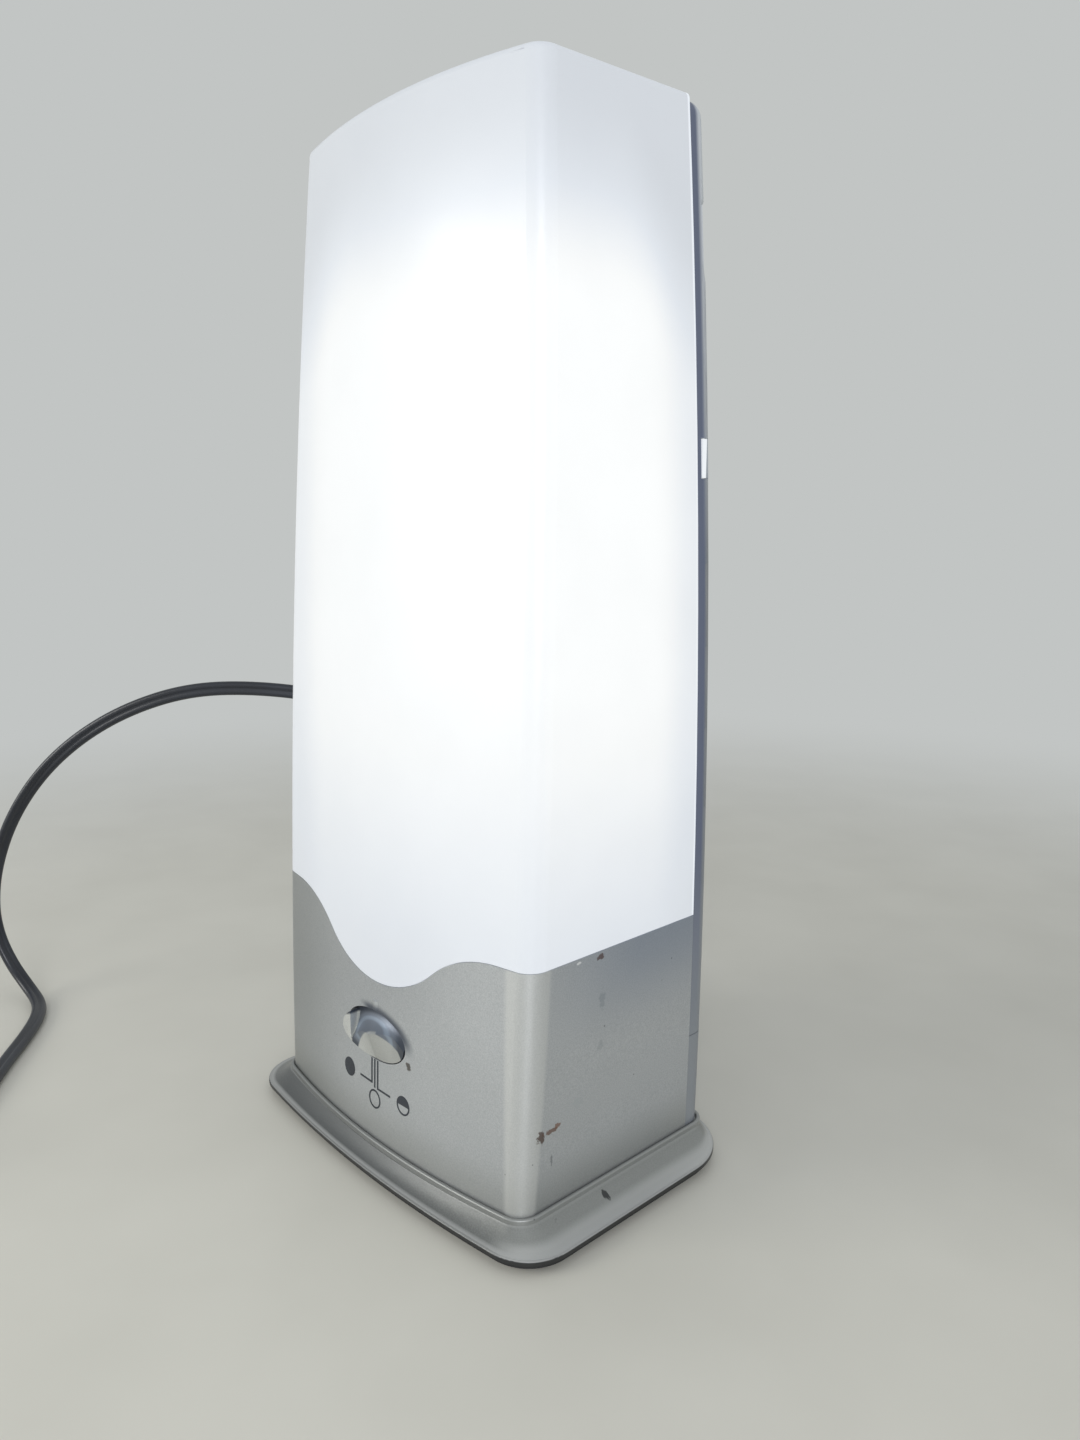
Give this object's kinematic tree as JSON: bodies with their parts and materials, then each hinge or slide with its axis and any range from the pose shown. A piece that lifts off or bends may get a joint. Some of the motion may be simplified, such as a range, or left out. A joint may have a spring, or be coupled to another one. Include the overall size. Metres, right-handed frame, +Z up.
{
  "type": "light therapy lamp",
  "caption": "Tall free-standing light therapy lamp: opal push-fit lens over a silver housing with a rocker switch, flared foot and mains cord.",
  "frame": {"origin": "middle of the base, on the table", "axes": "+Z up, the lens faces -Y, +X to the lamp's left seen from behind and to the right seen from the front"},
  "size_m": [0.3748, 0.3851, 0.4046],
  "materials": {
    "silver_paint": "fine metallic silver paint, satin",
    "opal_lens": "opal white, softly diffusing, lit",
    "cover_grey": "moulded silver grey plastic, satin",
    "base_black": "black moulded plastic",
    "rubber_grey": "soft rubber",
    "steel": "zinc plated steel",
    "ballast_iron": "dark plate",
    "rocker_silver": "pearly silver plastic",
    "switch_black": "black plastic",
    "white_plastic": "white heat resistant plastic",
    "phosphor_glass": "glass tubes coated white inside, lit",
    "reflector_sheet": "bright reflector sheet",
    "aluminium": "extruded aluminium",
    "brass": "plated brass",
    "circuit_board": "green printed circuit board",
    "component_dark": "moulded black components",
    "winding_yellow": "taped windings",
    "terminal_green": "green plastic",
    "lead_white": "soft lead insulation",
    "cord_vinyl": "soft vinyl, satin"
  },
  "bodies": {
    "case": {"foot": "silver_paint", "base_plate": "base_black", "rubber_feet": "rubber_grey", "base_weight": "ballast_iron", "base_screws": "steel", "front_housing": "silver_paint", "lens": "opal_lens", "rear_cover": "cover_grey", "lower_rear_cover": "cover_grey", "cover_screws": "steel", "rocker_pin": "steel", "switch_body": "switch_black", "switch_terminals": "brass", "switch_screws": "steel", "lamp_shelf": "white_plastic", "lampholder": "white_plastic", "holder_screws": "steel", "shelf_screws": "steel", "lamp_cap": "white_plastic", "lamp_prongs": "brass", "lamp_tubes": "phosphor_glass", "reflector": "reflector_sheet", "reflector_screws": "steel", "tube_clip": "steel", "board_standoffs": "brass", "ballast_board": "circuit_board", "board_screws": "steel", "ballast_inductors": "winding_yellow", "ballast_capacitors": "component_dark", "ballast_heatsink": "aluminium", "ballast_transistors": "component_dark", "terminal_block": "terminal_green", "switch_leads": "lead_white", "lamp_leads": "lead_white", "mains_lead": "cord_vinyl", "strain_relief": "cord_vinyl", "power_cord": "cord_vinyl", "cord_coil": "cord_vinyl", "plug_lead": "cord_vinyl", "plug_body": "cord_vinyl", "plug_blades": "brass"},
    "rocker": {"rocker_button": "rocker_silver"}
  },
  "joints": [
    {"name": "rocker_swing", "type": "hinge", "parent": "case", "child": "rocker", "pos_m": [0, -0.04812, 0.0564], "axis": [0, 0, -1], "range_deg": [0, 11]}
  ]
}
